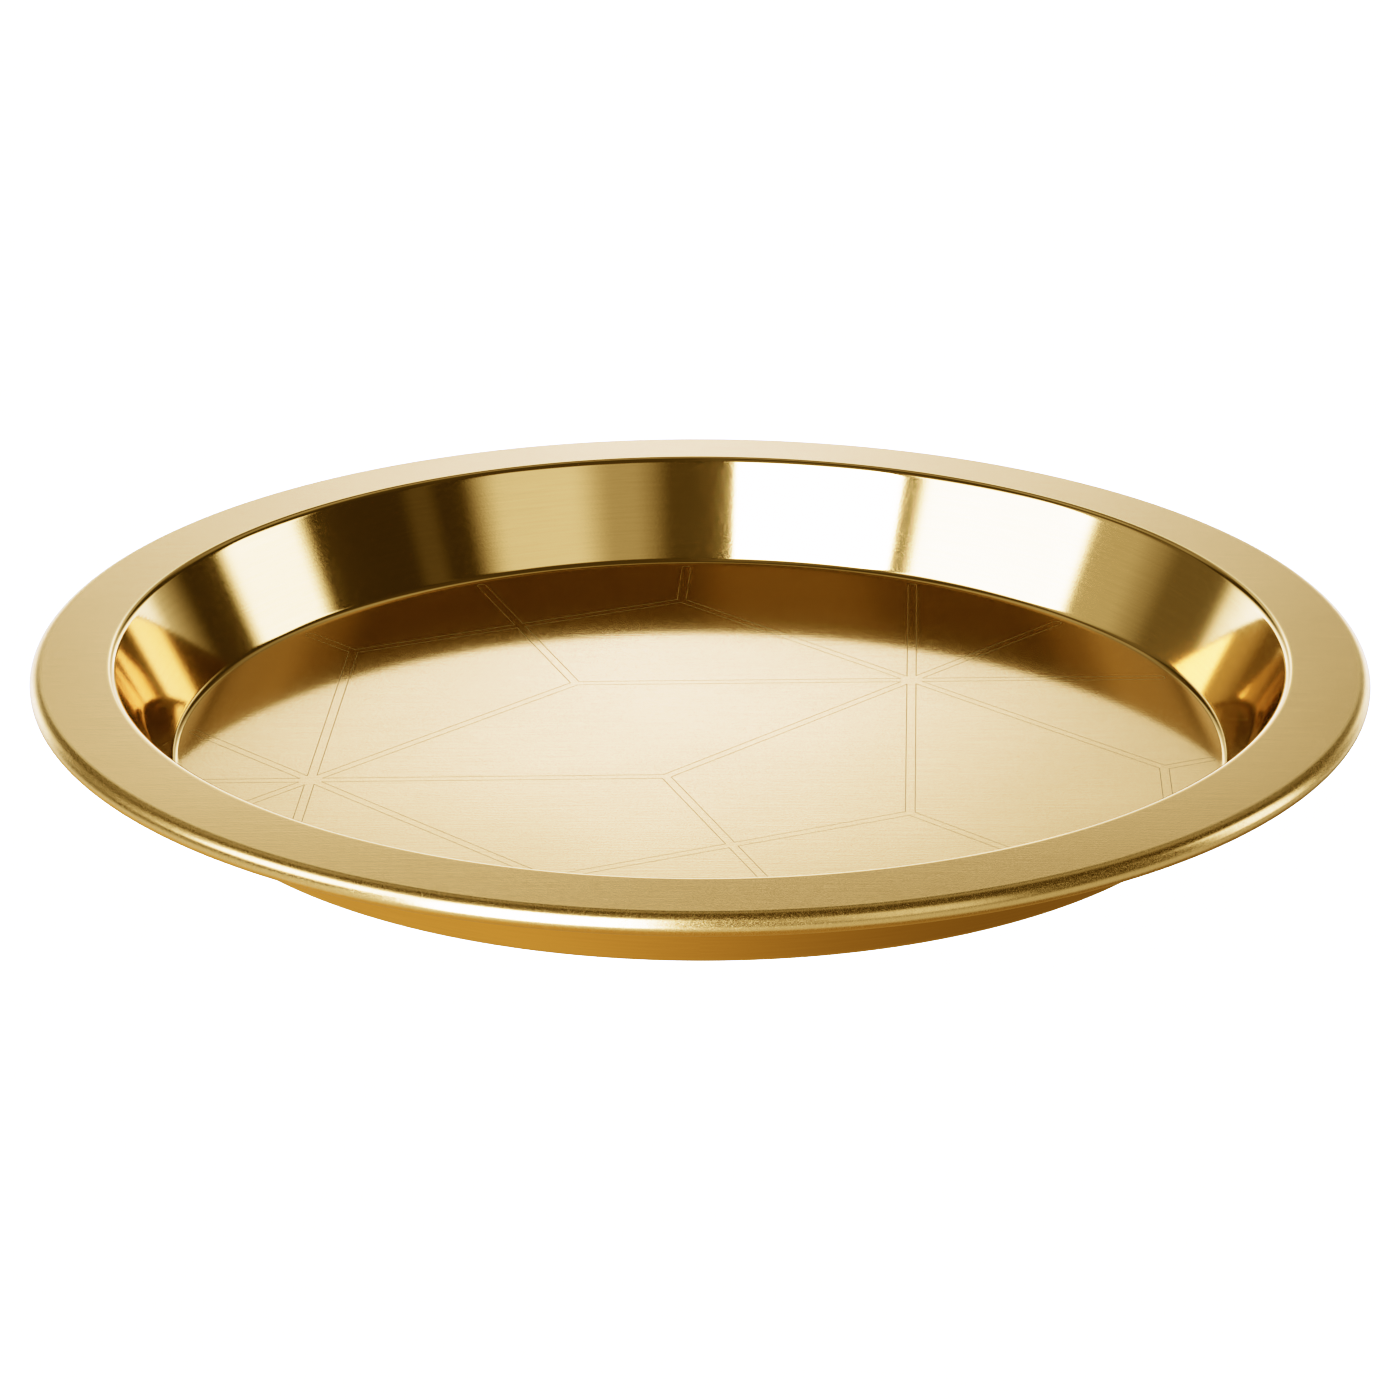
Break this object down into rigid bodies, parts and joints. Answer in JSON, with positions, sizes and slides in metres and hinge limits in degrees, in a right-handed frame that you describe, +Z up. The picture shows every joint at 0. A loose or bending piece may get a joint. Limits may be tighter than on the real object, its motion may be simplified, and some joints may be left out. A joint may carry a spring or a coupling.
{
  "type": "round serving tray",
  "caption": "Round brass serving tray with an engraved flat base, a leaning wall, a wide flange and an outer edge rolled over a wire.",
  "frame": {"origin": "centre of the flat underside, on the surface that the tray stands on", "axes": "+Z up along the tray's axis; X and Y in the plane of the base, with the engraved pattern fixed to them"},
  "size_m": [0.38, 0.38, 0.0309],
  "materials": {
    "brass_sheet": "satin brushed, with brighter rolled edge",
    "steel_wire": "drawn wire"
  },
  "bodies": {
    "root": {"tray_pan": "brass_sheet", "edge_wire": "steel_wire"}
  },
  "joints": []
}
